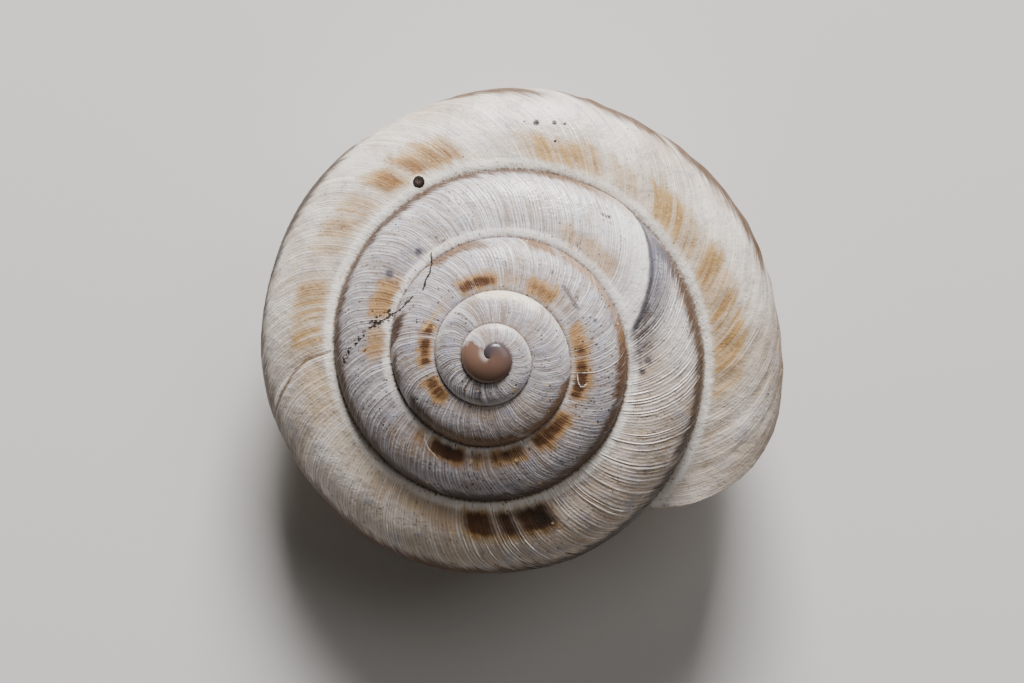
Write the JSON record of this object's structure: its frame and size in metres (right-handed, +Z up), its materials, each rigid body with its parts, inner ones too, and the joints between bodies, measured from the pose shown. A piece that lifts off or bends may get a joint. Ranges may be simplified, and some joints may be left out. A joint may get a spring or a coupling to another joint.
{
  "type": "land snail shell",
  "caption": "Low right-handed coiled snail shell, grown as one piece, hollow and open at its mouth, lying on its base.",
  "frame": {"origin": "on the surface the shell lies on, under the middle of its box", "axes": "+Z up from the surface, +Y up the picture, +X to the right of the picture; the mouth opens towards +X and -Y"},
  "size_m": [0.0174, 0.0162, 0.0094],
  "materials": {
    "shell_wall": "weathered lime shell, matt to satin"
  },
  "bodies": {
    "root": {"shell": "shell_wall"}
  },
  "joints": []
}
